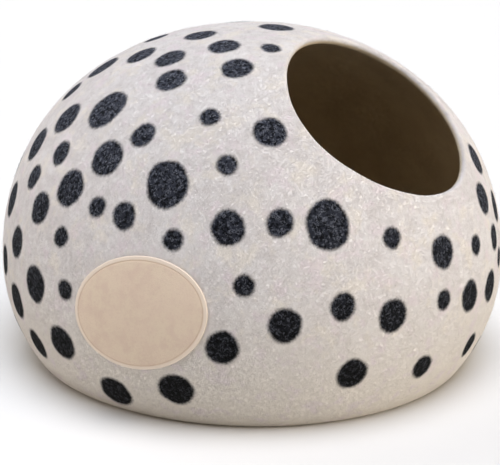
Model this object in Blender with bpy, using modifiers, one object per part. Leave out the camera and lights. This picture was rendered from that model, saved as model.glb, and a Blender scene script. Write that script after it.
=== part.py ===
"""Felt cat cave: a seamless hollow of felted wool, with a mouth in its crown and a leather patch.

Units are metres and +Z is up. The flat base lies on Z = 0 and is centred on the origin.
The mouth faces -Y. Angles round the cave count from +X towards +Y, seen from above.

The wall is a solid of revolution by formula: a superellipse above the widest level, another
below it, and a flat base. The wall's surface is a loft from the mouth's outline down to the
edge of the base. Solidify gives it the felt's thickness, and Bevel rounds its edges.
"""

import math

import bmesh
import bpy
from mathutils import Vector

# ------------------------------------------------------------------ the felt wall
WIDTH = 0.480  # across the widest level
WAIST_HEIGHT = 0.0925  # from the base up to the widest level
CROWN_RISE = 0.220  # from the widest level up to the top
CROWN_FULLNESS = 2.10  # 2 is an ellipse, and more is fuller in the shoulders
BELLY_DROP = 0.188  # from the widest level down to where the lower curve would close
BELLY_FULLNESS = 2.02
WALL = 0.007  # thickness of the felt
BASE_CORNER = 0.0042  # how far the soft corner reaches up the wall and in along the base
LIP_ROUNDING = 0.0028  # how far the mouth's rounded lip reaches over each face of the wall

# ------------------------------------------------------------------ the mouth
MOUTH_HEIGHT = 0.2664  # of the mouth's centre above the base
MOUTH_ANGLE = math.radians(-90)  # round the cave
MOUTH_RADIUS = 0.0935  # mean radius, seen square on
MOUTH_OVAL = 0.0039  # how much longer and shorter the hand-cut outline runs as an oval
MOUTH_EGG = 0.0030  # how much it runs to a broad and a narrow end
MOUTH_LEAN = math.radians(58)  # turn of its long axis, from the right-hand side upwards

# ------------------------------------------------------------------ the leather patch
PATCH_WIDTH = 0.123
PATCH_DEPTH = 0.096
PATCH_THICKNESS = 0.0022
PATCH_HEIGHT = 0.1048  # of the patch's centre above the base
PATCH_ANGLE = math.radians(-161.2)  # round the cave
PATCH_LEAN = math.radians(15)  # turn of its long axis, from level upwards at the right
PATCH_EDGE = 0.0006  # rounding of the cut edge
GAP = 0.0003  # between the leather and the felt

# ------------------------------------------------------------------ fineness of the meshes
AROUND = 64  # points in a ring of the wall
WALL_RINGS = 18  # from the mouth to the edge of the base
PATCH_AROUND = 48
PATCH_RINGS = 5
HALVINGS = 40  # steps of the search along a line
SLOPE_STEP = 0.0001  # for measuring the wall's slope

FELT_COLOUR = (0.73, 0.67, 0.63, 1.0)
FELT_ROUGHNESS = 0.95
LEATHER_COLOUR = (0.64, 0.49, 0.37, 1.0)
LEATHER_ROUGHNESS = 0.55

CENTRE = Vector((0, 0, WAIST_HEIGHT))  # of the widest level
UP = Vector((0, 0, 1))


def clear_scene():
    for thing in list(bpy.data.objects):
        bpy.data.objects.remove(thing, do_unlink=True)


def material(name, colour, roughness):
    made = bpy.data.materials.new(name)
    made.use_nodes = True
    shader = made.node_tree.nodes["Principled BSDF"]
    shader.inputs["Base Color"].default_value = colour
    shader.inputs["Roughness"].default_value = roughness
    shader.inputs["Metallic"].default_value = 0.0
    return made


def half_curve(point):
    """Reach and fullness of the curve that a point belongs to, above or below the widest level."""
    if point.z >= WAIST_HEIGHT:
        return CROWN_RISE, CROWN_FULLNESS
    return BELLY_DROP, BELLY_FULLNESS


def depth(point):
    """Below 1 inside the wall's outer face, 1 on it and above 1 outside."""
    reach, fullness = half_curve(point)
    across = math.hypot(point.x, point.y) / (WIDTH / 2)
    along = abs(point.z - WAIST_HEIGHT) / reach
    return across**fullness + along**fullness


def wall_point(direction):
    """The point of the wall's outer face in a direction from the centre, down to the base."""
    _, fullness = half_curve(CENTRE + direction)
    distance = depth(CENTRE + direction) ** (-1 / fullness)
    if direction.z < 0:
        distance = min(distance, WAIST_HEIGHT / -direction.z)
    return CENTRE + direction * distance


def wall_radius(height):
    reach, fullness = half_curve(UP * height)
    along = abs(height - WAIST_HEIGHT) / reach
    return WIDTH / 2 * (1 - along**fullness) ** (1 / fullness)


def wall_place(angle, height):
    """A point on the wall, with the way out, to the right and up the wall there."""
    radius = wall_radius(height)
    rise = wall_radius(height + SLOPE_STEP) - wall_radius(height - SLOPE_STEP)
    outwards = Vector((math.cos(angle), math.sin(angle), 0))
    point = outwards * radius + UP * height
    normal = (outwards * 2 * SLOPE_STEP - UP * rise).normalized()
    right = UP.cross(normal).normalized()
    return point, normal, right, normal.cross(right)


def drop_to_wall(point, axis):
    """Slide a point along an axis until it lies on the wall's outer face."""
    outer, inner = 0.1, -0.1
    for _ in range(HALVINGS):
        middle = (outer + inner) / 2
        if depth(point + axis * middle) < 1:
            inner = middle
        else:
            outer = middle
    return point + axis * outer


def mouth_outline():
    """The mouth's edge on the wall, anticlockwise from its right-hand side."""
    centre, normal, right, up = wall_place(MOUTH_ANGLE, MOUTH_HEIGHT)
    points = []
    for i in range(AROUND):
        turn = 2 * math.pi * i / AROUND
        lean = turn - MOUTH_LEAN
        radius = MOUTH_RADIUS + MOUTH_OVAL * math.cos(2 * lean) + MOUTH_EGG * math.cos(3 * lean)
        flat = centre + (right * math.cos(turn) + up * math.sin(turn)) * radius
        points.append(drop_to_wall(flat, normal))
    return points


def base_outline():
    """The edge of the flat base, in step with the mouth's outline."""
    radius = wall_radius(0)
    turns = [2 * math.pi * i / AROUND for i in range(AROUND)]
    return [Vector((math.cos(turn) * radius, math.sin(turn) * radius, 0)) for turn in turns]


def wall_rings():
    """Rings of points down the wall, turned evenly from the mouth to the edge of the base."""
    starts = [(point - CENTRE).normalized() for point in mouth_outline()]
    ends = [(point - CENTRE).normalized() for point in base_outline()]
    rings = []
    for step in range(WALL_RINGS + 1):
        share = step / WALL_RINGS
        rings.append([wall_point(start.slerp(end, share)) for start, end in zip(starts, ends)])
    return rings


def patch_rings():
    """Ovals of points from the patch's edge in to its middle, a gap's width off the wall."""
    centre, normal, right, up = wall_place(PATCH_ANGLE, PATCH_HEIGHT)
    long_way = right * math.cos(PATCH_LEAN) + up * math.sin(PATCH_LEAN)
    short_way = up * math.cos(PATCH_LEAN) - right * math.sin(PATCH_LEAN)
    rings = []
    for step in range(PATCH_RINGS):
        size = 1 - step / PATCH_RINGS
        ring = []
        for i in range(PATCH_AROUND):
            turn = -2 * math.pi * i / PATCH_AROUND
            along = long_way * math.cos(turn) * size * PATCH_WIDTH / 2
            across = short_way * math.sin(turn) * size * PATCH_DEPTH / 2
            point = drop_to_wall(centre + along + across, normal)
            ring.append(point + (point - CENTRE).normalized() * GAP)
        rings.append(ring)
    return rings


def lofted_surface(name, rings):
    """An open surface through rings of points, closed over the last ring."""
    shape = bmesh.new()
    rows = [[shape.verts.new(point) for point in ring] for ring in rings]
    for row, following in zip(rows, rows[1:]):
        for i in range(len(row)):
            j = (i + 1) % len(row)
            shape.faces.new((row[i], following[i], following[j], row[j]))
    last = shape.faces.new(reversed(rows[-1]))
    bmesh.ops.poke(shape, faces=[last])
    mesh = bpy.data.meshes.new(name)
    shape.to_mesh(mesh)
    shape.free()
    return mesh


def add_bevel(thing, name, width, segments, angle):
    bevel = thing.modifiers.new(name, "BEVEL")
    bevel.width = width
    bevel.segments = segments
    bevel.limit_method = "ANGLE"
    bevel.angle_limit = math.radians(angle)


def add_thickness(thing, name, thickness, side):
    """Give a surface its thickness, inwards for a side of -1 and outwards for 1."""
    wall = thing.modifiers.new(name, "SOLIDIFY")
    wall.thickness = thickness
    wall.offset = side
    wall.use_even_offset = True


def finished(name, mesh, surface, collection):
    mesh.materials.append(surface)
    mesh.shade_smooth()
    mesh.set_sharp_from_angle(angle=math.radians(35))
    thing = bpy.data.objects.new(name, mesh)
    collection.objects.link(thing)
    return thing


def felt_shell(collection):
    """The cave: one seamless wall with a soft base corner and a rounded lip at the mouth."""
    felt = material("felt", FELT_COLOUR, FELT_ROUGHNESS)
    mesh = lofted_surface("felt_shell", wall_rings())
    shell = finished("felt_shell", mesh, felt, collection)
    add_bevel(shell, "Base corner", BASE_CORNER, segments=4, angle=40)
    add_thickness(shell, "Felt wall", WALL, side=-1)
    add_bevel(shell, "Mouth lip", LIP_ROUNDING, segments=3, angle=60)


def leather_patch(collection):
    """The oval patch, bent to the wall that it lies on."""
    leather = material("leather", LEATHER_COLOUR, LEATHER_ROUGHNESS)
    mesh = lofted_surface("leather_patch", patch_rings())
    patch = finished("leather_patch", mesh, leather, collection)
    add_thickness(patch, "Leather", PATCH_THICKNESS, side=1)
    add_bevel(patch, "Cut edge", PATCH_EDGE, segments=2, angle=60)


def main():
    clear_scene()
    cave = bpy.data.collections.new("felt_cat_cave")
    bpy.context.scene.collection.children.link(cave)
    felt_shell(cave)
    leather_patch(cave)


main()
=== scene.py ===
# %% [markdown]
# # A cat cave of felted wool
#
# A cat cave is one hollow piece of wool felt. Wet wool is rubbed round a flat form until it
# shrinks into a seamless wall, the form is taken out through a cut, and that cut becomes the
# mouth. This lesson dresses the plain model of such a cave: its off-white wool with charcoal
# spots, its brown inside, the hairs that stand off the felt, and an oval leather patch.
#
# The plain model comes first, as a fixed frame. Every piece made below goes where it says.

# %% Load the frame
import math
import random

import bmesh
import bpy
from mathutils import Matrix, Vector, noise
from mathutils.bvhtree import BVHTree


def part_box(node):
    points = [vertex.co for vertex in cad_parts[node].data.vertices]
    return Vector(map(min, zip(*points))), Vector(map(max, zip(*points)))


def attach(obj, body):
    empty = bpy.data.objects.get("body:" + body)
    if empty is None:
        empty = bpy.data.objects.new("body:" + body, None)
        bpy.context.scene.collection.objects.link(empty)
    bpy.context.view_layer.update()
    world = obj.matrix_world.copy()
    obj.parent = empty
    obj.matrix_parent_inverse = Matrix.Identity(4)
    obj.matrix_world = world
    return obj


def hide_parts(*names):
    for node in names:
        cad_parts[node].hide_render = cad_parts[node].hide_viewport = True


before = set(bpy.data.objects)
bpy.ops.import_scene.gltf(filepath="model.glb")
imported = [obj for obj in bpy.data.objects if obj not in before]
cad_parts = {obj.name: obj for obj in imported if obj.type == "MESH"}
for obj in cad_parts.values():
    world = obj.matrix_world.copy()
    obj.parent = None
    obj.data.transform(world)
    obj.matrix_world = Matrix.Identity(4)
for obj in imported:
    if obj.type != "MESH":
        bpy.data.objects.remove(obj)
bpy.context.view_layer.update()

_, shell_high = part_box("felt_shell")

# %% [markdown]
# ## The curve of the wall
#
# The cave is round when seen from above, and its upright section is a superellipse: an
# ellipse whose powers are a little more than 2, so that its shoulders are fuller. One curve
# serves above the widest level and another below it, and a flat base cuts the lower one.
# A formula is better than a sculpted mesh here, because the mouth, the spots and the patch
# can then all ask it where the wall is.

# %% The cave's sizes, in metres
WIDTH = 0.480
WAIST_HEIGHT = 0.0925  # from the base up to the widest level
CROWN_RISE = shell_high[2] - WAIST_HEIGHT
CROWN_FULLNESS = 2.10
BELLY_DROP = 0.188  # from the widest level down to where the lower curve would close
BELLY_FULLNESS = 2.02
WALL = 0.007
BASE_CORNER = 0.0042
CENTRE = Vector((0, 0, WAIST_HEIGHT))
UP = Vector((0, 0, 1))
MM = 0.001
print(f"the crown rises {CROWN_RISE / MM:.1f} mm above the widest level")


# %% Where the wall is
def half_curve(point):
    """Reach and fullness of the curve that a point belongs to."""
    if point.z >= WAIST_HEIGHT:
        return CROWN_RISE, CROWN_FULLNESS
    return BELLY_DROP, BELLY_FULLNESS


def depth(point):
    """Below 1 inside the wall's outer face, 1 on it and above 1 outside."""
    reach, fullness = half_curve(point)
    across = math.hypot(point.x, point.y) / (WIDTH / 2)
    along = abs(point.z - WAIST_HEIGHT) / reach
    return across**fullness + along**fullness


def curve_point(direction):
    """The point of the two curves in a direction from the centre, as if there were no base."""
    _, fullness = half_curve(CENTRE + direction)
    return CENTRE + direction * depth(CENTRE + direction) ** (-1 / fullness)


def wall_point(direction):
    """The point of the wall's outer face in a direction from the centre, down to the base."""
    point = curve_point(direction)
    if point.z < 0:
        return CENTRE + direction * (WAIST_HEIGHT / -direction.z)
    return point


def wall_radius(height):
    reach, fullness = half_curve(UP * height)
    along = abs(height - WAIST_HEIGHT) / reach
    return WIDTH / 2 * (1 - along**fullness) ** (1 / fullness)


def wall_normal(point):
    """The way out of the wall at one of its points."""
    step = 0.1 * MM
    height = min(max(point.z, step), shell_high[2] - 2 * step)
    rise = wall_radius(height + step) - wall_radius(height - step)
    outwards = Vector((point.x, point.y, 0)).normalized()
    return (outwards * 2 * step - UP * rise).normalized()


def wall_place(angle, height):
    """A point on the wall, with the way out, to the right and up the wall there."""
    point = Vector((math.cos(angle), math.sin(angle), 0)) * wall_radius(height) + UP * height
    normal = wall_normal(point)
    right = UP.cross(normal).normalized()
    return point, normal, right, normal.cross(right)


DROP_REACH = 0.1  # how far off the wall a point to be dropped may lie
HALVINGS = 40  # of that reach, until the wall is found


def drop_to_wall(point, axis):
    """Slide a point along an axis until it lies on the wall's outer face."""
    outer, inner = DROP_REACH, -DROP_REACH
    for _ in range(HALVINGS):
        middle = (outer + inner) / 2
        if depth(point + axis * middle) < 1:
            inner = middle
        else:
            outer = middle
    return point + axis * outer


print(f"the base's edge is {2 * wall_radius(0) / MM:.0f} mm across")

# %% [markdown]
# ## The camera
#
# The camera stands where the photograph was taken from: to the left of the mouth and a little
# above the cave. A long lens keeps the perspective flat, as on a product picture. The spots
# are placed by looking through this camera, so it comes before them. A picture that is not
# quite level is matched by rolling the camera by the same small angle.

# %% Set up the camera
PICTURE_WIDTH = 500
PICTURE_HEIGHT = 465
CAMERA_DISTANCE = 1.3
CAMERA_SIDE = math.radians(-48.3)  # turned from straight in front of the mouth
CAMERA_RISE = math.radians(17.55)
CAMERA_ROLL = math.radians(1.04)
FOCAL_PIXELS = 1325.4  # focal length, in pixels of the picture
SENSOR = 36.0
AIM_RIGHT = -0.0020  # of the centre of the widest level, and above it
AIM_UP = 0.0173

forwards = Vector((-math.sin(CAMERA_SIDE), math.cos(CAMERA_SIDE), 0))
sideways = forwards.cross(UP)
camera_place = CENTRE + UP * CAMERA_DISTANCE * math.sin(CAMERA_RISE)
camera_place -= forwards * CAMERA_DISTANCE * math.cos(CAMERA_RISE)
aim = CENTRE + sideways * AIM_RIGHT + UP * AIM_UP

gaze = (aim - camera_place).normalized()
level = gaze.cross(UP).normalized()
top = level.cross(gaze)
picture_right = level * math.cos(CAMERA_ROLL) + top * math.sin(CAMERA_ROLL)
picture_up = top * math.cos(CAMERA_ROLL) - level * math.sin(CAMERA_ROLL)

lens = bpy.data.cameras.new("camera")
lens.sensor_width = SENSOR
lens.lens = FOCAL_PIXELS / PICTURE_WIDTH * SENSOR
camera = bpy.data.objects.new("camera", lens)
bpy.context.scene.collection.objects.link(camera)
axes = Matrix((picture_right, picture_up, -gaze)).transposed()
camera.matrix_world = Matrix.Translation(camera_place) @ axes.to_4x4()
bpy.context.scene.camera = camera
print(f"the lens is {lens.lens:.1f} mm")


# %% Look through a pixel
def through_pixel(across, down):
    """The way from the camera through a pixel, counted from the picture's upper left."""
    right = (across - PICTURE_WIDTH / 2) / FOCAL_PIXELS
    up = (PICTURE_HEIGHT / 2 - down) / FOCAL_PIXELS
    return (gaze + picture_right * right + picture_up * up).normalized()


print("the middle of the picture looks along", through_pixel(PICTURE_WIDTH / 2, PICTURE_HEIGHT / 2))

# %% [markdown]
# ## The uneven surface of hand-made felt
#
# Felt rubbed by hand is never quite true. Smooth noise moves the wall in and out by well
# under a millimetre, in broad swells with smaller dimples on them. The same noise moves both
# faces of the wall, so its thickness stays, and it moves the patch too, which follows what it
# lies on. It fades out towards the base, which has to stay flat.

# %% Swells and dimples
SWELL = 0.8 * MM
SWELL_SPACING = 0.085
DIMPLE = 0.28 * MM
DIMPLE_SPACING = 0.018
FLAT_BELOW = 0.006
FADE_HEIGHT = 0.030
FELT_SEED = Vector((3.1, 7.7, 1.9))


def swell(point):
    """How far the felt stands out of its formula at a point."""
    broad = noise.noise(point / SWELL_SPACING + FELT_SEED)
    small = noise.noise(point / DIMPLE_SPACING - FELT_SEED)
    fade = min(max((point.z - FLAT_BELOW) / FADE_HEIGHT, 0), 1)
    return (SWELL * broad + DIMPLE * small) * fade


print(f"at the crown the felt stands out by {swell(UP * shell_high[2]) / MM:.2f} mm")

# %% [markdown]
# ## The felt wall
#
# The wall is one closed loft, a pile of rings with the same number of points. It starts in
# the middle of the base, runs out to the soft corner, up the outer face to the mouth, over
# the rounded lip, down the inner face and along the floor inside. The mouth is an egg-shaped
# ring, drawn square on and dropped onto the curve, and each of its points has a partner on
# the round base: `slerp` turns evenly from one to the other. A Boolean cut would be shorter
# to write, but it leaves ragged triangles at the very edge that everybody looks at. Solidify
# would give the thickness, but one loft also knows which face every ring is on.

# %% The mouth's edge
AROUND = 320
MOUTH_HEIGHT = 0.2664
MOUTH_ANGLE = math.radians(-90)
MOUTH_RADIUS = 0.0935
MOUTH_OVAL = 0.0039
MOUTH_EGG = 0.0030
MOUTH_LEAN = math.radians(58)
CUT_WAVER = 0.5 * MM  # how far a hand-held blade strays
CUT_WAVES = 4.0  # of noise, across one radius of the mouth


def mouth_outline():
    """The mouth's edge on the wall, anticlockwise from its right-hand side."""
    centre, normal, right, up = wall_place(MOUTH_ANGLE, MOUTH_HEIGHT)
    points = []
    for i in range(AROUND):
        turn = 2 * math.pi * i / AROUND
        lean = turn - MOUTH_LEAN
        spoke = right * math.cos(turn) + up * math.sin(turn)
        radius = MOUTH_RADIUS + MOUTH_OVAL * math.cos(2 * lean) + MOUTH_EGG * math.cos(3 * lean)
        radius += CUT_WAVER * noise.noise(spoke * CUT_WAVES + FELT_SEED)
        points.append(drop_to_wall(centre + spoke * radius, normal))
    return points


mouth_points = mouth_outline()
girth = sum((a - b).length for a, b in zip(mouth_points, mouth_points[1:] + mouth_points[:1]))
print(f"the mouth's edge is {girth:.3f} m long")

# %% The rings of the outer and the inner face
WALL_RINGS = 110
INNER_RINGS = 64
LIP = 0.0033  # how far the lip's rounding reaches from the mouth's edge
INNER_FOOT = 0.0125  # height on the outer face behind which the inside corner starts


def level_ring(radius, height):
    turns = [2 * math.pi * i / AROUND for i in range(AROUND)]
    return [Vector((math.cos(turn) * radius, math.sin(turn) * radius, height)) for turn in turns]


def felt_point(point, below):
    """A point that lies some way below the felt's uneven outer face."""
    return point + wall_normal(point) * (swell(point) - below)


def lip_starts():
    """Where the lip's rounding starts on the wall, and the way from there to the mouth."""
    starts = []
    for i, edge in enumerate(mouth_points):
        along = mouth_points[(i + 1) % AROUND] - mouth_points[i - 1]
        to_mouth = wall_normal(edge).cross(along).normalized()
        starts.append((wall_point((edge - to_mouth * LIP - CENTRE).normalized()), to_mouth))
    return starts


def face_rings(foot_height, count):
    """Rings on the bare curve, turned evenly from the foot up to the lip."""
    foot = level_ring(wall_radius(foot_height), foot_height)
    lows = [(point - CENTRE).normalized() for point in foot]
    highs = [(point - CENTRE).normalized() for point, _ in starts]
    shares = [step / count for step in range(count + 1)]
    return [[wall_point(low.slerp(high, share)) for low, high in zip(lows, highs)] for share in shares]


starts = lip_starts()
outer_rings = face_rings(BASE_CORNER, WALL_RINGS)
inner_rings = face_rings(INNER_FOOT, INNER_RINGS)
print(f"{len(outer_rings)} rings outside and {len(inner_rings)} inside, of {AROUND} points")

# %% The rings of the lip, the corners and the floors
LIP_STEPS = 12
CORNER_STEPS = 6
FLOOR_RINGS = 9


def lip_rings():
    """Half-rounds from the outer face over the mouth's edge to the inner face."""
    rings = []
    for step in range(1, LIP_STEPS):
        turn = math.pi * step / LIP_STEPS
        sink = WALL / 2 * (1 - math.cos(turn))
        reach = LIP * math.sin(turn)
        rings.append([felt_point(point, sink) + to_mouth * reach for point, to_mouth in starts])
    return rings


def corner_rings(first, corner, last):
    """Level rings along a curve that cuts the corner between two places, as radius and height."""
    rings = []
    for step in range(1, CORNER_STEPS):
        share = step / CORNER_STEPS
        radius, height = first.lerp(corner, share).lerp(corner.lerp(last, share), share)
        rings.append(level_ring(radius, height))
    return rings


def floor_rings(radius, height):
    """Level rings from the middle outwards."""
    shares = [(step + 1) / FLOOR_RINGS for step in range(FLOOR_RINGS)]
    return [level_ring(radius * share, height) for share in shares]


def inner_corner():
    """Where the inner face ends, where it would meet the floor, and where the floor begins."""
    outside = inner_rings[0][0]
    first = felt_point(outside, WALL)
    normal = wall_normal(outside)
    drop = first.z - WALL
    corner = Vector((first.x - drop * -normal.z / normal.x, WALL))
    return Vector((first.x, first.z)), corner, corner - Vector((drop, 0))


base_edge = Vector((wall_radius(0), 0))
base_start = base_edge - Vector((BASE_CORNER, 0))
wall_foot = Vector((wall_radius(BASE_CORNER), BASE_CORNER))
inner_foot, inner_edge, floor_start = inner_corner()
print(f"the floor inside is {2 * floor_start.x / MM:.0f} mm across, at {WALL / MM:.0f} mm up")


# %% Loft a closed body through rings of points
def lofted_body(name, rings):
    """A closed body through rings of points, with a fan over the first ring and the last."""
    shape = bmesh.new()
    rows = [[shape.verts.new(point) for point in ring] for ring in rings]
    for row, following in zip(rows, rows[1:]):
        for i in range(len(row)):
            j = (i + 1) % len(row)
            shape.faces.new((row[i], row[j], following[j], following[i]))
    ends = [shape.faces.new(reversed(rows[0])), shape.faces.new(rows[-1])]
    bmesh.ops.poke(shape, faces=ends)
    bmesh.ops.recalc_face_normals(shape, faces=shape.faces)
    print(f"{name}: {len(shape.verts)} points, {shape.calc_volume(signed=True) * 1e6:.1f} cm3")
    mesh = bpy.data.meshes.new(name)
    shape.to_mesh(mesh)
    shape.free()
    mesh.shade_smooth()
    thing = bpy.data.objects.new(name, mesh)
    bpy.context.scene.collection.objects.link(thing)
    return thing


def stored(mesh, name, values):
    """Store a number for each point of a mesh, and zero for the points past the list's end."""
    layer = mesh.attributes.new(name, "FLOAT", "POINT")
    layer.data.foreach_set("value", values + [0.0] * (len(mesh.vertices) - len(values)))


below_rings = floor_rings(base_start.x, 0) + corner_rings(base_start, base_edge, wall_foot)
faces_out = [[felt_point(point, 0) for point in ring] for ring in outer_rings]
faces_in = [[felt_point(point, WALL) for point in ring] for ring in reversed(inner_rings)]
inside_rings = corner_rings(inner_foot, inner_edge, floor_start)
inside_rings += reversed(floor_rings(floor_start.x, WALL))
rounded = lip_rings()
shell = lofted_body("felt_wall", below_rings + faces_out + rounded + faces_in + inside_rings)

# %% [markdown]
# ## Which colour a point of the wall has
#
# A material can read numbers that are stored on the mesh. Two of them tell this felt's colours
# apart. `inside` grows from 0 on the outer face to 1 on the inner one, over the rounded lip,
# where the off-white wool gives way to brown. `spot` is the distance to the nearest spot's
# edge, which is below 0 within a spot. A distance bends smoothly between the points of the
# mesh, so the edge of a spot stays round however coarse the mesh is.

# %% Store how far inside the wall each ring is
INSIDE_FROM = 1.2 * MM  # below the outer face
INSIDE_TO = 5.8 * MM


def lip_share(step):
    """How brown a ring of the lip is."""
    sink = WALL / 2 * (1 - math.cos(math.pi * step / LIP_STEPS))
    return min(max((sink - INSIDE_FROM) / (INSIDE_TO - INSIDE_FROM), 0), 1)


ring_shares = [0.0] * (len(below_rings) + len(faces_out))
ring_shares += [lip_share(step) for step in range(1, LIP_STEPS)]
ring_shares += [1.0] * (len(faces_in) + len(inside_rings))
inside = [share for share in ring_shares for _ in range(AROUND)]
stored(shell.data, "inside", inside + [0.0, 1.0])  # and the middles of both floors
print(f"{sum(share > 0.5 for share in inside)} points belong to the brown inside")

# %% [markdown]
# ## The charcoal spots
#
# The spots are wool too, felted in flush with the wall, so they change its colour and not
# its shape. Those on the seen side are charted: the chart sorts them into five sizes
# and says at which pixel of the picture each spot's middle shows. A ray through that pixel
# finds its place on the wall. The other side gets spots of the same sizes, scattered by a
# seeded random number generator that keeps them apart. It also leans each spot a little. No
# spot is a true oval, so each gets its own soft lobes.

# %% The chart of the spots that show
SPECK = (18, 19)  # mm across and up the wall
SMALL = (22, 25)
MIDDLE = (28, 30)
LARGE = (32, 34)
GIANT = (37, 43)
SPOT_CHART = (  # a size, and the pixels across and down of the spots that have it
    (SPECK, ((271, 48), (210, 117), (227, 165), (97, 207), (61, 237), (173, 240), (392, 238))),
    (SPECK, ((476, 245), (499, 257), (65, 290), (244, 286), (444, 300))),
    (SMALL, ((156, 38), (72, 91), (143, 135), (61, 153), (34, 177), (124, 216), (280, 223))),
    (SMALL, ((494, 237), (343, 307), (469, 345), (422, 367))),
    (MIDDLE, ((200, 35), (224, 46), (141, 55), (170, 58), (237, 68), (171, 80), (270, 132))),
    (MIDDLE, ((476, 159), (483, 198), (495, 206), (40, 208), (228, 228), (17, 242), (443, 252))),
    (MIDDLE, ((5, 260), (490, 286), (470, 296), (393, 316), (285, 326), (38, 344), (222, 348))),
    (MIDDLE, ((352, 374),)),
    (LARGE, ((276, 27), (103, 67), (67, 118), (37, 144), (107, 158), (70, 188), (12, 199))),
    (LARGE, ((35, 284), (17, 301), (62, 343), (176, 390), (116, 392))),
    (GIANT, ((107, 109), (167, 184), (328, 225))),
)
print(f"{sum(len(middles) for _, middles in SPOT_CHART)} spots are charted")

# %% Find the charted spots on the wall
MOST_SPOT_LEAN = math.radians(30)
MIDDLE_PIXEL = Vector((250, 240))
PIXEL_NUDGE = 0.004  # share of the way to the middle that each new try moves
PIXEL_TRIES = 30
scatter = random.Random(12)
graph = bpy.context.evaluated_depsgraph_get()
wall_tree = BVHTree.FromObject(shell, graph)


def wall_under_pixel(across, down):
    """The wall's point that a pixel shows, or the nearest one for a pixel just past the edge."""
    for step in range(PIXEL_TRIES):
        pixel = Vector((across, down)).lerp(MIDDLE_PIXEL, step * PIXEL_NUDGE)
        point, _, _, _ = wall_tree.ray_cast(camera_place, through_pixel(*pixel))
        if point is not None:
            return point
    raise ValueError(f"pixel {across}, {down} is off the cave")


spots = []  # the middle, half the width, half the height and the lean of each
for (width, height), middles in SPOT_CHART:
    for across, down in middles:
        lean = scatter.uniform(-MOST_SPOT_LEAN, MOST_SPOT_LEAN)
        spots.append((wall_under_pixel(across, down), width * MM / 2, height * MM / 2, lean))
charted = len(spots)
print(f"{charted} spots show")

# %% Scatter the spots of the far side
FAR_SPOTS = 60
SPOT_TRIES = 6000
SPOT_GAP = 0.012
LOWEST_SPOT = 0.010
TURNED_AWAY = 0.06  # the wall faces away from the camera below this, or nearly so
MOUTH_MARGIN = 0.014


def fits(point, radius):
    """Whether a new spot is out of the camera's sight and clear of all else."""
    to_camera = (camera_place - point).normalized()
    if wall_normal(point).dot(to_camera) > TURNED_AWAY or point.z - radius < LOWEST_SPOT:
        return False
    if any((point - edge).length < radius + MOUTH_MARGIN for edge in mouth_points):
        return False
    room = radius + SPOT_GAP * scatter.uniform(1, 2)
    return all((point - other).length > room + max(sizes) for other, *sizes, _ in spots)


for _ in range(SPOT_TRIES):
    if len(spots) - charted == FAR_SPOTS:
        break
    angle = scatter.uniform(0, 2 * math.pi)
    height = scatter.uniform(LOWEST_SPOT, shell_high[2] - MM)
    point, _, _, _ = wall_place(angle, height)
    _, half_width, half_height, _ = scatter.choice(spots[:charted])
    if fits(point, max(half_width, half_height)):
        lean = scatter.uniform(-MOST_SPOT_LEAN, MOST_SPOT_LEAN)
        spots.append((point, half_width, half_height, lean))
print(f"{len(spots) - charted} more spots lie on the far side")

# %% Store the distance to the nearest spot's edge
FAR_FROM_SPOTS = 0.030
LOBES = ((3, 0.017), (4, 0.012), (5, 0.012), (7, 0.009))  # waves round a spot, and their depth


def spot_edge_distances(points):
    """For each point, the distance to the nearest spot's edge, below 0 inside a spot."""
    distances = [FAR_FROM_SPOTS] * len(points)
    for middle, half_width, half_height, lean in spots:
        reach = max(half_width, half_height) + FAR_FROM_SPOTS
        normal = wall_normal(middle)
        right = UP.cross(normal).normalized()
        up = normal.cross(right)
        lobes = [(waves, depth, scatter.uniform(0, 2 * math.pi)) for waves, depth in LOBES]
        for i, point in enumerate(points):
            way = point - middle
            away = way.length
            if away > reach:
                continue
            turn = math.atan2(way.dot(up), way.dot(right)) - lean
            flatter = math.hypot(math.cos(turn) / half_width, math.sin(turn) / half_height)
            shape = 1 + sum(depth * math.cos(waves * turn + at) for waves, depth, at in lobes)
            distances[i] = min(distances[i], away - shape / flatter)
    return distances


before = len(below_rings) * AROUND
after = (len(rounded) + len(faces_in) + len(inside_rings)) * AROUND
spot_distances = spot_edge_distances([point for ring in faces_out for point in ring])
FAN_MIDDLES = 2  # the points in the middle of both floors
spot_values = [FAR_FROM_SPOTS] * before + spot_distances + [FAR_FROM_SPOTS] * (after + FAN_MIDDLES)
stored(shell.data, "spot", spot_values)
print(f"{sum(distance < 0 for distance in spot_distances)} points lie in spots")

# %% [markdown]
# ## Ways to write a node tree
#
# Materials and Geometry Nodes are both trees of nodes. Wiring them by hand takes three lines
# a node, so small helpers keep the recipes short. The first adds any node and feeds its
# sockets with values or with other nodes' sockets. The others do sums, turn a value between
# two limits into a share from 0 to 1, blend two colours, make cloudy noise, start a material
# and set a shader's constants.

# %% Helpers for node trees
def add_node(tree, kind, feeds=None, **settings):
    """Add a node, set it up, and feed its sockets with values or other sockets."""
    node = tree.nodes.new(kind)
    for name, value in settings.items():
        setattr(node, name, value)
    for name, value in (feeds or {}).items():
        if isinstance(value, bpy.types.NodeSocket):
            tree.links.new(value, node.inputs[name])
        else:
            node.inputs[name].default_value = value
    return node


def maths(tree, operation, *values):
    feeds = dict(enumerate(values))
    return add_node(tree, "ShaderNodeMath", feeds, operation=operation).outputs[0]


def share_of(tree, value, low, high):
    """Where a value lies between two limits, eased at both ends."""
    feeds = {"Value": value, "From Min": low, "From Max": high}
    return add_node(tree, "ShaderNodeMapRange", feeds, interpolation_type="SMOOTHSTEP").outputs[0]


def blended(tree, share, first, second):
    """A colour between two colours."""
    feeds = {0: share, 6: first, 7: second}
    return add_node(tree, "ShaderNodeMix", feeds, data_type="RGBA").outputs[2]


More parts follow.
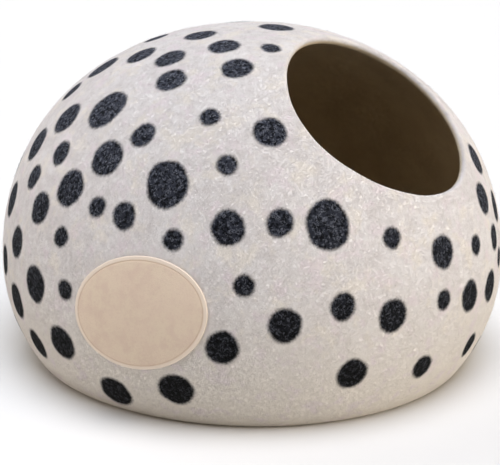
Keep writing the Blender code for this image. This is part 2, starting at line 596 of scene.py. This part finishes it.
def cloudy(tree, place, scale, detail=2.0, roughness=0.5, distortion=0.0):
    """Smooth noise around one half, with so many waves to the metre."""
    feeds = {"Vector": place, "Scale": scale, "Detail": detail, "Roughness": roughness}
    feeds["Distortion"] = distortion
    return add_node(tree, "ShaderNodeTexNoise", feeds).outputs["Fac"]


def new_material(name):
    """A material with a bare Principled shader, its tree and its shader."""
    made = bpy.data.materials.new(name)
    made.use_nodes = True
    return made, made.node_tree, made.node_tree.nodes["Principled BSDF"]


def set_constants(shader, **values):
    """Set numbers that are the same all over on the shader's own sockets."""
    for name, value in values.items():
        shader.inputs[name.replace("_", " ")].default_value = value


print("helpers for node trees are ready")

# %% [markdown]
# ## The felt's finish
#
# Wool felt is a mat of fine fibres that curl every way, so it has no weave. From a step away
# it shows cloudy patches, where the wool lies thicker, with faint tufts of straw-coloured and
# rosy wool among the off-white. Towards the base the off-white is painted a little yellower, a
# painted warm cast that stands in for warm light bounced up from below. The charcoal is painted
# from almost black low down to slate near the crown: a painted sheen, where the light from above
# catches the dark wool.
#
# Close by, felt shows single hairs. A hair that wanders is drawn with a known trick: smooth
# noise crosses its middle value along thin, curling lines, so a narrow band around that value
# looks like fibres. Three such layers at different scales, each bent by another noise, give
# the mat. The same lines raise the bump. Inside the spots, curls drawn in the same way are
# lighter than the charcoal.

# %% Fibres drawn with noise
def fibre_lines(tree, place, scale, width, shift):
    """Thin curling lines where a noise crosses its middle, 1 on a line and 0 off it."""
    moved = add_node(tree, "ShaderNodeVectorMath", {0: place, 1: shift}, operation="ADD").outputs[0]
    waves = cloudy(tree, moved, scale, detail=1.5, roughness=0.6, distortion=1.6)
    from_middle = maths(tree, "ABSOLUTE", maths(tree, "SUBTRACT", waves, 0.5))
    return share_of(tree, from_middle, width, 0.0)


FIBRE_LAYERS = (  # waves to the metre, half-width of a line in the noise, and a shift
    (170.0, 0.020, (0.0, 0.0, 0.0)),
    (310.0, 0.030, (3.0, 1.0, 2.0)),
    (560.0, 0.045, (7.0, 5.0, 4.0)),
)


def fibre_mat(tree, place):
    """All layers of fibres together."""
    lines = [fibre_lines(tree, place, *layer) for layer in FIBRE_LAYERS]
    return maths(tree, "MAXIMUM", maths(tree, "MAXIMUM", lines[0], lines[1]), lines[2])


print(f"{len(FIBRE_LAYERS)} layers of fibres")

# %% The felt's material
PALE_WOOL = (0.855, 0.812, 0.775, 1)
SHADED_WOOL = (0.725, 0.672, 0.635, 1)
STRAW_WOOL = (0.870, 0.800, 0.700, 1)
ROSY_WOOL = (0.825, 0.725, 0.725, 1)
STRAY_HAIR = (0.330, 0.275, 0.235, 1)
DEEP_CHARCOAL = (0.002, 0.002, 0.002, 1)
DEEP_CURL = (0.058, 0.060, 0.070, 1)
PIT = (0.007, 0.008, 0.012, 1)  # between the fibres of the slate wool
# painted sheen: the slate colours are the charcoal as lit from above near the crown
SHEEN_SLATE = (0.050, 0.055, 0.074, 1)
SHEEN_SLATE_CURL = (0.215, 0.227, 0.268, 1)
BROWN_WOOL = (0.800, 0.665, 0.465, 1)
DARK_BROWN = (0.720, 0.585, 0.400, 1)
SHEEN_GREY_FROM = 0.030  # height at which the painted sheen starts to turn the charcoal greyer
SHEEN_GREY_TO = 0.330
WARM_BOUNCE_TO = 0.150  # height up to which the off-white is painted yellower: a painted warm cast of light bounced up from below
SPOT_FADE = 2.2 * MM  # half-width of a spot's soft edge
EDGE_STRAY = 4.0 * MM  # how far single fibres carry it in and out
LIP_STRAY = 120.0  # the same at the lip, as a change in `inside` for each metre
FELT_BUMP = 0.80 * MM


def height_share(tree, place, low, high):
    """How far up a point lies between two heights on the cave."""
    height = add_node(tree, "ShaderNodeSeparateXYZ", {0: place}).outputs["Z"]
    return share_of(tree, height, low, high)


def pale_wool(tree, place, mat):
    """Off-white, in clouds and tufts of warmer and cooler wool, painted yellower towards the base,
    with a few brownish hairs.
    """
    clouds = cloudy(tree, place, 16.0, detail=3.0)
    tufts = cloudy(tree, place, 110.0, detail=5.0, roughness=0.70)
    patches = maths(tree, "MULTIPLY_ADD", clouds, 0.35, maths(tree, "MULTIPLY", tufts, 0.65))
    wool = blended(tree, share_of(tree, patches, 0.36, 0.64), PALE_WOOL, SHADED_WOOL)
    straw_and_warm_bounce = share_of(tree, cloudy(tree, place, 48.0, detail=3.0, roughness=0.6), 0.48, 0.68)
    # painted warm cast: the off-white turns yellower towards the base, standing in for warm light
    # bounced up from below
    warm_bounce = height_share(tree, place, WARM_BOUNCE_TO, 0.0)
    straw_and_warm_bounce = maths(tree, "MAXIMUM", maths(tree, "MULTIPLY", straw_and_warm_bounce, 0.8), warm_bounce)
    wool = blended(tree, straw_and_warm_bounce, wool, STRAW_WOOL)
    rosy = share_of(tree, cloudy(tree, place, 61.0, detail=3.0, roughness=0.6), 0.50, 0.70)
    wool = blended(tree, maths(tree, "MULTIPLY", rosy, 0.7), wool, ROSY_WOOL)
    hairs = fibre_lines(tree, place, 120.0, 0.010, (9.0, 2.0, 6.0))
    some = maths(tree, "MULTIPLY", hairs, share_of(tree, tufts, 0.40, 0.70))
    wool = blended(tree, maths(tree, "MULTIPLY", mat, 0.16), wool, PALE_WOOL)
    return blended(tree, maths(tree, "MULTIPLY", some, 0.45), wool, STRAY_HAIR)


def charcoal_wool(tree, place):
    """Almost black low down and slate near the crown, in painted sheen, with lighter curls."""
    curls = fibre_lines(tree, place, 250.0, 0.075, (4.0, 8.0, 1.0))
    patchy = share_of(tree, cloudy(tree, place, 300.0, detail=1.0), 0.42, 0.60)
    curls = maths(tree, "MULTIPLY", curls, patchy)
    pits = share_of(tree, cloudy(tree, place, 270.0, detail=2.0, roughness=0.6), 0.44, 0.58)
    low = blended(tree, curls, DEEP_CHARCOAL, DEEP_CURL)
    high = blended(tree, curls, blended(tree, pits, SHEEN_SLATE, PIT), SHEEN_SLATE_CURL)
    # painted sheen: the charcoal turns from almost black to slate towards the crown
    return blended(tree, height_share(tree, place, SHEEN_GREY_FROM, SHEEN_GREY_TO), low, high)


def brown_wool(tree, place):
    clouds = cloudy(tree, place, 22.0, detail=3.0)
    return blended(tree, share_of(tree, clouds, 0.35, 0.65), BROWN_WOOL, DARK_BROWN)


def attribute(tree, name):
    return add_node(tree, "ShaderNodeAttribute", attribute_name=name).outputs["Fac"]


def felt_material():
    felt, tree, shader = new_material("wool_felt")
    place = add_node(tree, "ShaderNodeTexCoord").outputs["Object"]
    mat = fibre_mat(tree, place)
    edge_noise = cloudy(tree, place, 460.0, detail=4.0, roughness=0.7)
    stray = maths(tree, "MULTIPLY", maths(tree, "SUBTRACT", edge_noise, 0.5), EDGE_STRAY)
    edge = maths(tree, "ADD", attribute(tree, "spot"), stray)
    in_spot = share_of(tree, edge, SPOT_FADE, -SPOT_FADE)
    lip = maths(tree, "ADD", attribute(tree, "inside"), maths(tree, "MULTIPLY", stray, LIP_STRAY))
    within = share_of(tree, lip, 0.15, 0.85)
    colour = blended(tree, in_spot, pale_wool(tree, place, mat), charcoal_wool(tree, place))
    colour = blended(tree, within, colour, brown_wool(tree, place))
    grain = cloudy(tree, place, 1400.0, detail=2.0, roughness=0.7)
    height = maths(tree, "MULTIPLY_ADD", grain, 0.5, mat)
    height = maths(tree, "MULTIPLY_ADD", cloudy(tree, place, 150.0, detail=3.0), 1.5, height)
    feeds = {"Strength": 0.8, "Distance": FELT_BUMP, "Height": height}
    bump = add_node(tree, "ShaderNodeBump", feeds).outputs[0]
    tree.links.new(colour, shader.inputs["Base Color"])
    tree.links.new(bump, shader.inputs["Normal"])
    set_constants(shader, Roughness=0.95, Specular_IOR_Level=0.02, Sheen_Weight=0.06)
    set_constants(shader, Sheen_Roughness=0.40)
    return felt


felt = felt_material()
shell.data.materials.append(felt)
print(f"the felt's recipe has {len(felt.node_tree.nodes)} nodes")

# %% [markdown]
# ## Hairs that stand off the felt
#
# Real felt has a faint halo: loose ends of wool lie on it and stand a little off it, which
# softens its outline. Geometry Nodes scatter them. Points are distributed on the wall, each
# gets a small closed strand that is turned at random and leans over, and Realize Instances
# makes the strands real mesh. One tree serves four kinds of hair, and the numbers stored on
# the wall say where each kind grows.

# %% Strands to scatter
STRAND_SHAPES = 5
STRAND_RADIUS = 0.006  # at the root, of a strand 1 long: each copy gets its own length
STRAND_TAPER = 0.2  # share of the radius lost at each joint
STRAND_JOINTS = 3
STRAND_BEND = 0.22  # how far each stretch may lean to a side
STRAND_CORNERS = (0, 2.094, 4.189)  # radians round a strand


def strand_mesh(name, chance):
    """A curled strand with three sides, from a closed root to a point."""
    shape = bmesh.new()
    spine = [Vector((0, 0, 0))]
    bends = []
    for _ in range(STRAND_JOINTS):
        to_right = chance.uniform(-STRAND_BEND, STRAND_BEND)
        bends.append(Vector((to_right, chance.uniform(-STRAND_BEND, STRAND_BEND), 0)))
    for joint, bend in enumerate(bends):
        spine.append(spine[-1] + (bend * (joint + 1) + UP).normalized() / STRAND_JOINTS)
    rows = []
    for joint, point in enumerate(spine[:-1]):
        radius = STRAND_RADIUS * (1 - STRAND_TAPER * joint)
        corners = [(math.cos(turn), math.sin(turn), 0) for turn in STRAND_CORNERS]
        rows.append([shape.verts.new(point + Vector(corner) * radius) for corner in corners])
    tip = shape.verts.new(spine[-1])
    for row, following in zip(rows, rows[1:]):
        for i in range(3):
            shape.faces.new((row[i], row[(i + 1) % 3], following[(i + 1) % 3], following[i]))
    for i in range(3):
        shape.faces.new((rows[-1][i], rows[-1][(i + 1) % 3], tip))
    shape.faces.new(reversed(rows[0]))
    bmesh.ops.triangulate(shape, faces=shape.faces)
    mesh = bpy.data.meshes.new(name)
    shape.to_mesh(mesh)
    shape.free()
    return mesh


strand_chance = random.Random(5)
strands = bpy.data.collections.new("strands")
for number in range(STRAND_SHAPES):
    mesh = strand_mesh(f"strand_{number}", strand_chance)
    strands.objects.link(bpy.data.objects.new(mesh.name, mesh))
print(f"a strand has {len(mesh.polygons)} triangles")

# %% [markdown]
# ## The tree that scatters the hairs
#
# The points are scattered evenly and only then chosen by where they lie: the numbers stored
# on the wall are read at each point, so no hair grows under the patch, and charcoal hairs
# keep to the spots. Choosing after the scatter is more exact than thinning the density,
# because a density is only known at the corners of the mesh.

# %% Keep the patch's place free of hairs
PATCH_WIDTH = 0.123
PATCH_DEPTH = 0.096
PATCH_HEIGHT = 0.1048
PATCH_ANGLE = math.radians(-161.2)
PATCH_LEAN = math.radians(15)
patch_centre, patch_normal, patch_right, patch_up = wall_place(PATCH_ANGLE, PATCH_HEIGHT)
long_way = patch_right * math.cos(PATCH_LEAN) + patch_up * math.sin(PATCH_LEAN)
short_way = patch_up * math.cos(PATCH_LEAN) - patch_right * math.sin(PATCH_LEAN)


def off_patch(point):
    """Roughly how far a point lies outside the patch's oval."""
    way = point - patch_centre
    if way.length > PATCH_WIDTH:
        return PATCH_WIDTH
    reach = math.hypot(way.dot(long_way) * 2 / PATCH_WIDTH, way.dot(short_way) * 2 / PATCH_DEPTH)
    return (reach - 1) * PATCH_DEPTH / 2


stored(shell.data, "off_patch", [off_patch(vertex.co) for vertex in shell.data.vertices])
print("the patch's middle is at", patch_centre)

# %% Build the tree
HAIR_SOCKETS = (
    ("Hairs per square metre", "NodeSocketFloat"),
    ("Least spot distance", "NodeSocketFloat"),
    ("Most spot distance", "NodeSocketFloat"),
    ("Least inside", "NodeSocketFloat"),
    ("Most inside", "NodeSocketFloat"),
    ("Shortest", "NodeSocketFloat"),
    ("Longest", "NodeSocketFloat"),
    ("Seed", "NodeSocketInt"),
    ("Strands", "NodeSocketCollection"),
    ("Wool", "NodeSocketMaterial"),
)
LOWEST_HAIR = 0.012
PATCH_MARGIN = 0.006
LEAST_LEAN = math.radians(62)  # from standing straight off the felt
MOST_LEAN = math.radians(86)


def between(tree, value, low, high):
    above = maths(tree, "GREATER_THAN", value, low)
    return maths(tree, "MULTIPLY", above, maths(tree, "LESS_THAN", value, high))


def random_value(tree, low, high, seed):
    feeds = {2: low, 3: high, "Seed": seed}
    return add_node(tree, "FunctionNodeRandomValue", feeds, data_type="FLOAT").outputs[1]


def read_number(tree, name):
    feeds = {"Name": name}
    return add_node(tree, "GeometryNodeInputNamedAttribute", feeds, data_type="FLOAT").outputs[0]


def chosen_points(tree, given):
    """Whether a scattered point grows this kind of hair."""
    spot = read_number(tree, "spot")
    within = read_number(tree, "inside")
    by_spot = between(tree, spot, given["Least spot distance"], given["Most spot distance"])
    by_face = between(tree, within, given["Least inside"], given["Most inside"])
    place = add_node(tree, "GeometryNodeInputPosition").outputs[0]
    height = add_node(tree, "ShaderNodeSeparateXYZ", {0: place}).outputs["Z"]
    clear = maths(tree, "GREATER_THAN", height, LOWEST_HAIR)
    off = maths(tree, "GREATER_THAN", read_number(tree, "off_patch"), PATCH_MARGIN)
    chosen = maths(tree, "MULTIPLY", maths(tree, "MULTIPLY", by_spot, by_face), clear)
    return maths(tree, "MULTIPLY", chosen, off)


def leaning(tree, upright, seed):
    """Turn each strand at random about the way out of the felt, and lean it over."""
    lean = random_value(tree, LEAST_LEAN, MOST_LEAN, maths(tree, "ADD", seed, 1))
    turn = random_value(tree, 0.0, 2 * math.pi, maths(tree, "ADD", seed, 2))
    angles = add_node(tree, "ShaderNodeCombineXYZ", {"X": lean, "Z": turn}).outputs[0]
    lay = add_node(tree, "FunctionNodeEulerToRotation", {0: angles}).outputs[0]
    feeds = {"Rotation": upright, "Rotate By": lay}
    return add_node(tree, "FunctionNodeRotateRotation", feeds, rotation_space="LOCAL").outputs[0]


def hair_tree():
    tree = bpy.data.node_groups.new("loose_hairs", "GeometryNodeTree")
    tree.interface.new_socket("Geometry", in_out="INPUT", socket_type="NodeSocketGeometry")
    for name, kind in HAIR_SOCKETS:
        tree.interface.new_socket(name, in_out="INPUT", socket_type=kind)
    tree.interface.new_socket("Geometry", in_out="OUTPUT", socket_type="NodeSocketGeometry")
    given = tree.nodes.new("NodeGroupInput").outputs
    seed = given["Seed"]
    feeds = {"Mesh": given["Geometry"], "Density": given["Hairs per square metre"], "Seed": seed}
    scatter_node = add_node(tree, "GeometryNodeDistributePointsOnFaces", feeds)
    feeds = {"Collection": given["Strands"], "Separate Children": True, "Reset Children": True}
    kinds = add_node(tree, "GeometryNodeCollectionInfo", feeds).outputs[0]
    length = random_value(tree, given["Shortest"], given["Longest"], maths(tree, "ADD", seed, 3))
    feeds = {
        "Points": scatter_node.outputs["Points"],
        "Selection": chosen_points(tree, given),
        "Instance": kinds,
        "Pick Instance": True,
        "Rotation": leaning(tree, scatter_node.outputs["Rotation"], seed),
        "Scale": length,
    }
    placed = add_node(tree, "GeometryNodeInstanceOnPoints", feeds).outputs[0]
    real = add_node(tree, "GeometryNodeRealizeInstances", {"Geometry": placed}).outputs[0]
    feeds = {"Geometry": real, "Material": given["Wool"]}
    coloured = add_node(tree, "GeometryNodeSetMaterial", feeds).outputs[0]
    add_node(tree, "NodeGroupOutput", {"Geometry": coloured})
    return tree


loose_hairs = hair_tree()
print(f"the tree has {len(loose_hairs.nodes)} nodes")


# %% Grow the hairs
def wool_material(name, low, high):
    """Plain wool, painted from one colour at the base to one at the crown, uneven from hair to hair.
    """
    wool, tree, shader = new_material(name)
    place = add_node(tree, "ShaderNodeTexCoord").outputs["Object"]
    # painted sheen: the charcoal hairs turn from almost black at the base to slate at the crown
    colour = blended(tree, height_share(tree, place, SHEEN_GREY_FROM, SHEEN_GREY_TO), low, high)
    shade = share_of(tree, cloudy(tree, place, 300.0), 0.35, 0.65)
    feeds = {"Color": colour, "Value": maths(tree, "MULTIPLY_ADD", shade, 0.28, 0.72)}
    uneven = add_node(tree, "ShaderNodeHueSaturation", feeds).outputs[0]
    tree.links.new(uneven, shader.inputs["Base Color"])
    set_constants(shader, Roughness=0.9, Specular_IOR_Level=0.02)
    return wool


PALE_HAIR = (0.620, 0.580, 0.550, 1)
SHEEN_SLATE_HAIR = (0.075, 0.080, 0.100, 1)
HAIR_KINDS = (  # name, two colours, per square metre, spot range, inside range, lengths in mm
    ("pale_hairs", PALE_HAIR, PALE_HAIR, 13000, (0.3, 99), (-1, 0.45), (3, 8)),
    ("stray_hairs", STRAY_HAIR, STRAY_HAIR, 4200, (0.5, 99), (-1, 0.2), (3, 7)),
    ("charcoal_hairs", DEEP_CHARCOAL, SHEEN_SLATE_HAIR, 60000, (-99, -0.2), (-1, 0.5), (2.5, 5)),
    ("brown_hairs", BROWN_WOOL, BROWN_WOOL, 9000, (-99, 99), (0.6, 2), (4, 9)),
)


def grown(name, low, high, thickness, spot_range, inside_range, lengths, seed):
    """Scatter one kind of hair on the wall, as a plain mesh."""
    values = (thickness, *(edge * MM for edge in spot_range), *inside_range)
    values += (*(length * MM for length in lengths), seed, strands, wool_material(name, low, high))
    hairs = bpy.data.objects.new(name, shell.data.copy())
    bpy.context.scene.collection.objects.link(hairs)
    modifier = hairs.modifiers.new("Hairs", "NODES")
    modifier.node_group = loose_hairs
    sockets = [item for item in loose_hairs.interface.items_tree if item.in_out == "INPUT"]
    for socket, value in zip(sockets[1:], values):
        modifier[socket.identifier] = value
    graph = bpy.context.evaluated_depsgraph_get()
    mesh = bpy.data.meshes.new_from_object(hairs.evaluated_get(graph))
    hairs.modifiers.clear()
    hairs.data = mesh
    print(f"{name}: {len(mesh.polygons)} triangles")
    return hairs


hair_pieces = [grown(*kind, seed=10 * number) for number, kind in enumerate(HAIR_KINDS, start=1)]

# %% [markdown]
# ## The leather patch
#
# The patch is vegetable-tanned leather, cut as an oval, with a rounded rim and a line pressed
# in a little way inside it. It lies on the felt and follows its curve. It is a loft again:
# near the edge the rings are true offsets of the oval, so that the rim and the pressed line
# keep their width all the way round, and further in they only shrink towards the middle. A
# short profile, height against distance from the edge, makes the rim and the line.

# %% The patch's profile
PATCH_THICKNESS = 0.0022
PATCH_GAP = 0.0003  # between the leather and the felt
RIM_ROUND = 0.9 * MM
BACK_ROUND = 0.5 * MM
ARC_STEPS = 6
LINE_INSET = 3.9 * MM
LINE_WIDTH = 0.50 * MM
LINE_DEPTH = 0.28 * MM
OFFSET_RINGS = 40
OFFSET_REACH = 13 * MM  # how far in the rings are true offsets
SHRUNK_RINGS = 12


def quarter_turns():
    return [math.pi / 2 * step / ARC_STEPS for step in range(ARC_STEPS + 1)]


def top_height(inset):
    """The height of the leather's top, some way in from its edge."""
    pressed = math.exp(-(((inset - LINE_INSET) / LINE_WIDTH) ** 2))
    return PATCH_THICKNESS - LINE_DEPTH * pressed


def patch_profile():
    """Distance in from the edge and height, from the back round the edge to the top."""
    step_in = (OFFSET_REACH - RIM_ROUND) / OFFSET_RINGS
    back = [(OFFSET_REACH - step_in * 4 * step, 0) for step in range(OFFSET_RINGS // 4)]
    lower = [
        (BACK_ROUND * (1 - math.sin(turn)), BACK_ROUND * (1 - math.cos(turn)))
        for turn in quarter_turns()
    ]
    rise = PATCH_THICKNESS - RIM_ROUND
    upper = [
        (RIM_ROUND * (1 - math.cos(turn)), rise + RIM_ROUND * math.sin(turn))
        for turn in quarter_turns()
    ]
    insets = [RIM_ROUND + step_in * (step + 1) for step in range(OFFSET_RINGS)]
    return back + lower + upper + [(inset, top_height(inset)) for inset in insets]


profile = patch_profile()
print(f"the patch's profile has {len(profile)} points")

# %% Loft the patch
PATCH_AROUND = 260


def patch_point(along, across, height):
    """A point above the felt, from its place on the flat oval."""
    flat = patch_centre + long_way * along + short_way * across
    return felt_point(drop_to_wall(flat, patch_normal), -PATCH_GAP - height)


def patch_ring(inset, height, size=1.0):
    """A true offset of the oval, or a shrunk one."""
    ring = []
    for i in range(PATCH_AROUND):
        turn = -2 * math.pi * i / PATCH_AROUND
        spoke = Vector((math.cos(turn) * PATCH_WIDTH, math.sin(turn) * PATCH_DEPTH)) / 2
        inwards = Vector((-math.cos(turn) * PATCH_DEPTH, -math.sin(turn) * PATCH_WIDTH))
        place = (spoke + inwards.normalized() * inset) * size
        ring.append(patch_point(place.x, place.y, height))
    return ring


shrunk = [(step + 1) / (SHRUNK_RINGS + 1) for step in range(SHRUNK_RINGS)]
patch_rows = [patch_ring(OFFSET_REACH, 0, size) for size in shrunk]
patch_rows += [patch_ring(inset, height) for inset, height in profile]
patch_rows += [patch_ring(OFFSET_REACH, PATCH_THICKNESS, size) for size in reversed(shrunk)]
patch = lofted_body("leather_oval", patch_rows)

border = [OFFSET_REACH] * len(shrunk)
border += [inset if height > BACK_ROUND else OFFSET_REACH for inset, height in profile]
border += [OFFSET_REACH] * len(shrunk)
borders = [inset for inset in border for _ in range(PATCH_AROUND)]
stored(patch.data, "border", borders + [OFFSET_REACH, OFFSET_REACH])
print(f"the patch stands {(PATCH_GAP + PATCH_THICKNESS) / MM:.1f} mm off the felt")

# %% [markdown]
# ## The leather's finish
#
# Vegetable-tanned leather is smooth and slightly waxy, with a fine grain of pores, cloudy
# patches from pinkish to yellowish tan and fine darker flecks. The `border` number stored on
# the patch tells how far in a point lies, so the rim gets a painted highlight, paler all the way
# round, and the pressed line is darker all the way round.

# %% The leather's material
TAN = (0.675, 0.537, 0.412, 1)
PINK_TAN = (0.625, 0.482, 0.375, 1)
YELLOW_TAN = (0.665, 0.543, 0.407, 1)
# painted highlight of the rounded rim
RIM_HIGHLIGHT = (0.720, 0.605, 0.490, 1)
DARK_GRAIN = (0.560, 0.420, 0.330, 1)
PRESSED_TAN = (0.500, 0.350, 0.240, 1)
GRAIN = 1300.0  # pores to the metre


def leather_material():
    leather, tree, shader = new_material("tan_leather")
    place = add_node(tree, "ShaderNodeTexCoord").outputs["Object"]
    warm = share_of(tree, cloudy(tree, place, 95.0, detail=4.0, roughness=0.65), 0.38, 0.64)
    colour = blended(tree, warm, YELLOW_TAN, PINK_TAN)
    clouds = share_of(tree, cloudy(tree, place, 38.0, detail=4.0), 0.38, 0.62)
    colour = blended(tree, maths(tree, "MULTIPLY", clouds, 0.6), colour, TAN)
    grains = share_of(tree, cloudy(tree, place, 620.0, detail=3.0, roughness=0.6), 0.45, 0.75)
    colour = blended(tree, maths(tree, "MULTIPLY", grains, 0.35), colour, DARK_GRAIN)
    inset = attribute(tree, "border")
    # painted highlight: the rounded rim is paler all the way round
    colour = blended(tree, share_of(tree, inset, LINE_INSET, LINE_INSET * 0.6), colour, RIM_HIGHLIGHT)
    off_line = maths(tree, "ABSOLUTE", maths(tree, "SUBTRACT", inset, LINE_INSET))
    in_line = share_of(tree, off_line, LINE_WIDTH * 1.4, LINE_WIDTH * 0.2)
    colour = blended(tree, maths(tree, "MULTIPLY", in_line, 0.5), colour, PRESSED_TAN)
    feeds = {"Vector": place, "Scale": GRAIN}
    pores = add_node(tree, "ShaderNodeTexVoronoi", feeds).outputs["Distance"]
    creases = cloudy(tree, place, 380.0, detail=4.0, roughness=0.6)
    height = maths(tree, "MULTIPLY_ADD", creases, 1.6, pores)
    feeds = {"Strength": 0.6, "Distance": 0.20 * MM, "Height": height}
    bump = add_node(tree, "ShaderNodeBump", feeds).outputs[0]
    shine = add_node(tree, "ShaderNodeMapRange", {"Value": creases, "To Min": 0.48, "To Max": 0.66})
    tree.links.new(colour, shader.inputs["Base Color"])
    tree.links.new(bump, shader.inputs["Normal"])
    tree.links.new(shine.outputs[0], shader.inputs["Roughness"])
    set_constants(shader, Specular_IOR_Level=0.4)
    return leather


leather = leather_material()
patch.data.materials.append(leather)
print(f"the leather's recipe has {len(leather.node_tree.nodes)} nodes")

# %% [markdown]
# ## Floor and light
#
# A white product picture has a pale floor that is lit until it turns almost white, and soft
# light from large lamps. Sun lamps with a wide angle give light as soft as a big lamp's, and
# just as strong everywhere, so the floor stays even to its edges. The strongest hangs
# overhead and is a little cool. Warmer ones stand low on either side, the brighter on the
# right of the picture, so the left and the low side of the cave fall into gentle shade. A cool
# one behind on the left lights the cave's edge there, and a weak warm one in front on the left
# reaches in through the mouth.

# %% Lay the floor
FLOOR_SIZE = 12.0
PAPER = (0.690, 0.674, 0.642, 1)
floor_mesh = bpy.data.meshes.new("studio_floor")
shape = bmesh.new()
bmesh.ops.create_grid(shape, x_segments=1, y_segments=1, size=FLOOR_SIZE / 2)
shape.to_mesh(floor_mesh)
shape.free()
floor = bpy.data.objects.new("studio_floor", floor_mesh)
bpy.context.scene.collection.objects.link(floor)
paper, _, paper_shader = new_material("pale_floor")
set_constants(paper_shader, Base_Color=PAPER, Roughness=0.9)
set_constants(paper_shader, Specular_IOR_Level=0.1)
floor_mesh.materials.append(paper)
print(f"the floor is {FLOOR_SIZE:.0f} m across")

# %% Hang the lamps
LAMPS = (  # name, turn from the camera, elevation, angle it fills, strength and colour
    ("overhead", 20, 78, 45, 3.65, (0.860, 0.900, 1.0)),
    ("low_right", 83, 9, 40, 2.90, (1.0, 0.895, 0.76)),
    ("low_left", -100, 10, 40, 1.00, (1.0, 0.885, 0.81)),
    ("back_left", -140, 40, 50, 1.10, (0.87, 0.925, 1.0)),
    ("front_left", -40, 25, 30, 0.30, (1.0, 0.83, 0.66)),
)
LAMP_DISTANCE = 2.0
WORLD_STRENGTH = 0.05


def hung_lamp(name, turn, elevation, angle, strength, colour):
    """A soft sun that shines on the cave from one side."""
    side = CAMERA_SIDE + math.radians(turn)
    rise = math.radians(elevation)
    way = Vector((math.sin(side) * math.cos(rise), -math.cos(side) * math.cos(rise), math.sin(rise)))
    light = bpy.data.lights.new(name, "SUN")
    light.angle = math.radians(angle)
    light.energy = strength
    light.color = colour
    lamp = bpy.data.objects.new(name, light)
    bpy.context.scene.collection.objects.link(lamp)
    turned = way.to_track_quat("Z", "Y").to_matrix().to_4x4()
    lamp.matrix_world = Matrix.Translation(CENTRE + way * LAMP_DISTANCE) @ turned


for lamp in LAMPS:
    hung_lamp(*lamp)
world = bpy.data.worlds.new("studio")
bpy.context.scene.world = world
world.use_nodes = True
world.node_tree.nodes["Background"].inputs["Color"].default_value = (1, 1, 1, 1)
world.node_tree.nodes["Background"].inputs["Strength"].default_value = WORLD_STRENGTH
bpy.context.scene.view_settings.view_transform = "Standard"
print(f"{len(LAMPS)} lamps light the cave")

# %% [markdown]
# ## Tie the pieces to the frame
#
# Every piece moves with the root body, and the plain wall and patch of the model are hidden,
# so that only the pieces made here show.

# %% Tie the pieces
for piece in (shell, patch, *hair_pieces):
    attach(piece, "root")
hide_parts("felt_shell")
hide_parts("leather_patch")
